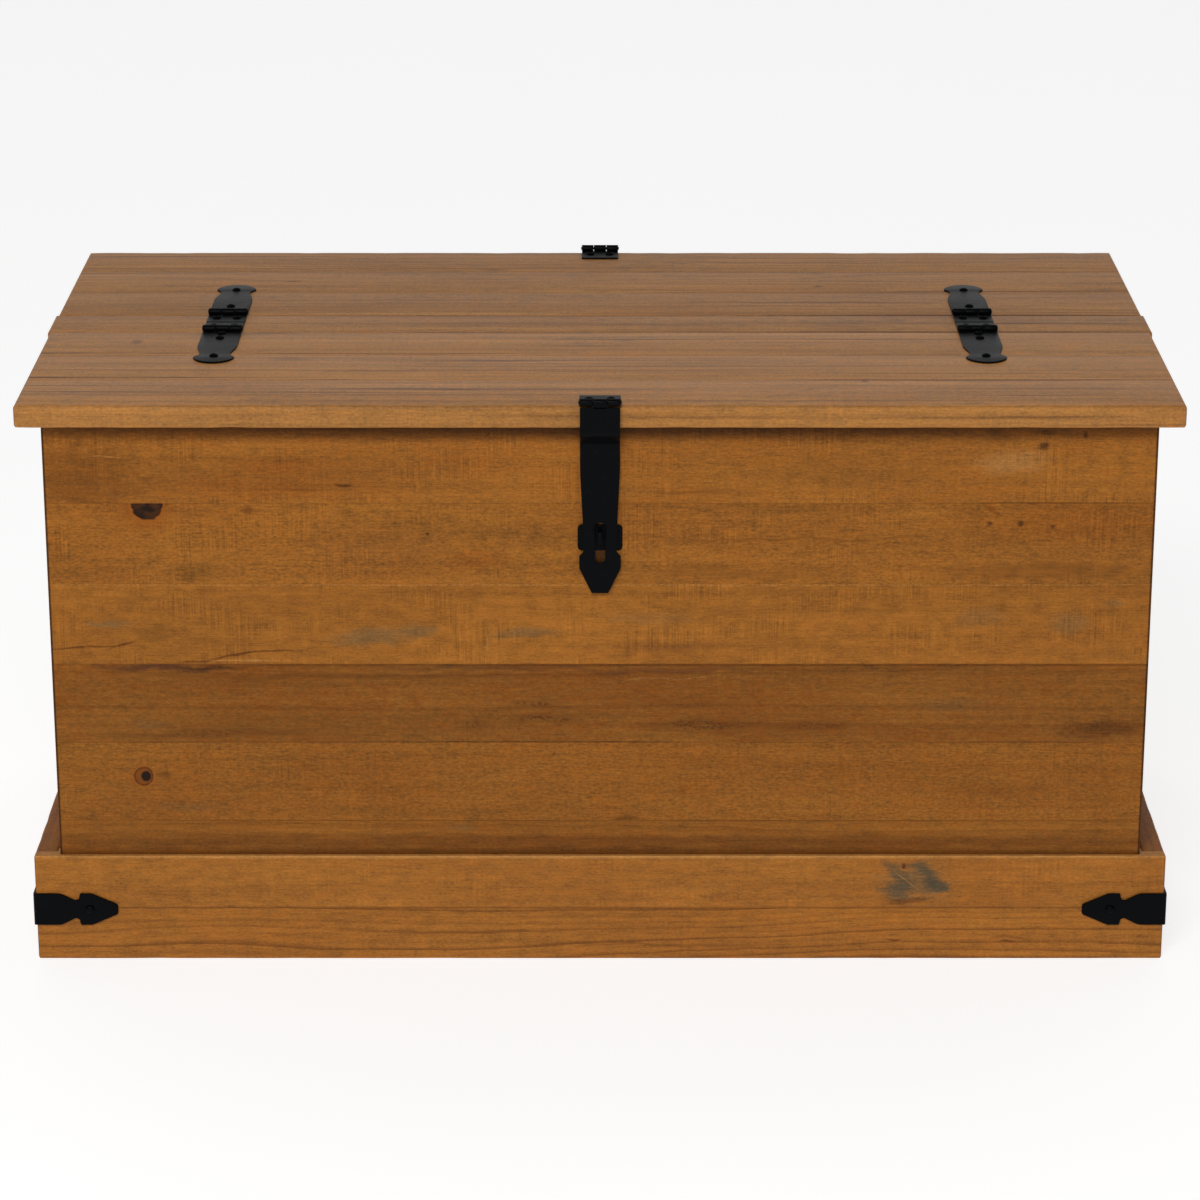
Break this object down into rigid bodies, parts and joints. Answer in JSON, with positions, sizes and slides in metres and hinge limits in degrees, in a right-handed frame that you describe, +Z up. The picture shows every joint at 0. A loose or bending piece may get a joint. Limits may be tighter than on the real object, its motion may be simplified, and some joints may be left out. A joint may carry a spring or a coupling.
{
  "type": "wooden storage chest",
  "caption": "Rustic pine storage chest: panelled box on a wide plinth, front and rear lids on a fixed centre rail with black strap hinges, hinged hasps and plinth corner braces.",
  "frame": {"origin": "under the middle of the chest, on the floor: bottom centre of the bounding box", "axes": "+X along the chest's width, to the right of someone facing the front; +Y from the front to the rear; +Z up"},
  "size_m": [0.9194, 0.503, 0.4762],
  "materials": {
    "lid_pine": "waxed, slightly faded brown pine with open grain",
    "body_pine": "waxed honey-brown pine, lightly band-sawn face",
    "plinth_pine": "waxed honey-brown pine with eased edges",
    "inner_pine": "bare sawn pine",
    "black_iron": "satin black painted steel, lightly hammered"
  },
  "bodies": {
    "box": {"bearer_front": "inner_pine", "bearer_left": "inner_pine", "bearer_rear": "inner_pine", "bearer_right": "inner_pine", "bottom_panel": "inner_pine", "brace_nail_front_left_end": "black_iron", "brace_nail_front_left_face": "black_iron", "brace_nail_front_right_end": "black_iron", "brace_nail_front_right_face": "black_iron", "brace_nail_rear_left_end": "black_iron", "brace_nail_rear_left_face": "black_iron", "brace_nail_rear_right_end": "black_iron", "brace_nail_rear_right_face": "black_iron", "centre_rail": "lid_pine", "corner_brace_front_left": "black_iron", "corner_brace_front_right": "black_iron", "corner_brace_rear_left": "black_iron", "corner_brace_rear_right": "black_iron", "corner_cleat_front_left": "inner_pine", "corner_cleat_front_right": "inner_pine", "corner_cleat_rear_left": "inner_pine", "corner_cleat_rear_right": "inner_pine", "front_panel": "body_pine", "hasp_staple_front": "black_iron", "hasp_staple_rear": "black_iron", "hinge_pin_front_left": "black_iron", "hinge_pin_front_right": "black_iron", "hinge_pin_rear_left": "black_iron", "hinge_pin_rear_right": "black_iron", "hinge_short_leaf_front_left": "black_iron", "hinge_short_leaf_front_right": "black_iron", "hinge_short_leaf_rear_left": "black_iron", "hinge_short_leaf_rear_right": "black_iron", "left_panel": "body_pine", "plinth_front": "plinth_pine", "plinth_left": "plinth_pine", "plinth_rear": "plinth_pine", "plinth_right": "plinth_pine", "rear_panel": "body_pine", "right_panel": "body_pine"},
    "front_lid_assembly": {"front_lid": "lid_pine", "hasp_leaf_front": "black_iron", "hasp_pin_front": "black_iron", "hinge_long_leaf_front_left": "black_iron", "hinge_long_leaf_front_right": "black_iron"},
    "rear_lid_assembly": {"hasp_leaf_rear": "black_iron", "hasp_pin_rear": "black_iron", "hinge_long_leaf_rear_left": "black_iron", "hinge_long_leaf_rear_right": "black_iron", "rear_lid": "lid_pine"},
    "front_strap": {"hasp_strap_front": "black_iron"},
    "rear_strap": {"hasp_strap_rear": "black_iron"}
  },
  "joints": [
    {"name": "front_lid_hinge", "type": "hinge", "parent": "box", "child": "front_lid_assembly", "pos_m": [0, -0.027, 0.47325], "axis": [-1, 0, 0], "range_deg": [0, 93]},
    {"name": "rear_lid_hinge", "type": "hinge", "parent": "box", "child": "rear_lid_assembly", "pos_m": [0, 0.027, 0.47325], "axis": [1, 0, 0], "range_deg": [0, 93]},
    {"name": "front_hasp_hinge", "type": "hinge", "parent": "front_lid_assembly", "child": "front_strap", "pos_m": [0, -0.2485, 0.47325], "axis": [-1, 0, 0], "range_deg": [0, 95]},
    {"name": "rear_hasp_hinge", "type": "hinge", "parent": "rear_lid_assembly", "child": "rear_strap", "pos_m": [0, 0.2485, 0.47325], "axis": [1, 0, 0], "range_deg": [0, 95]}
  ]
}
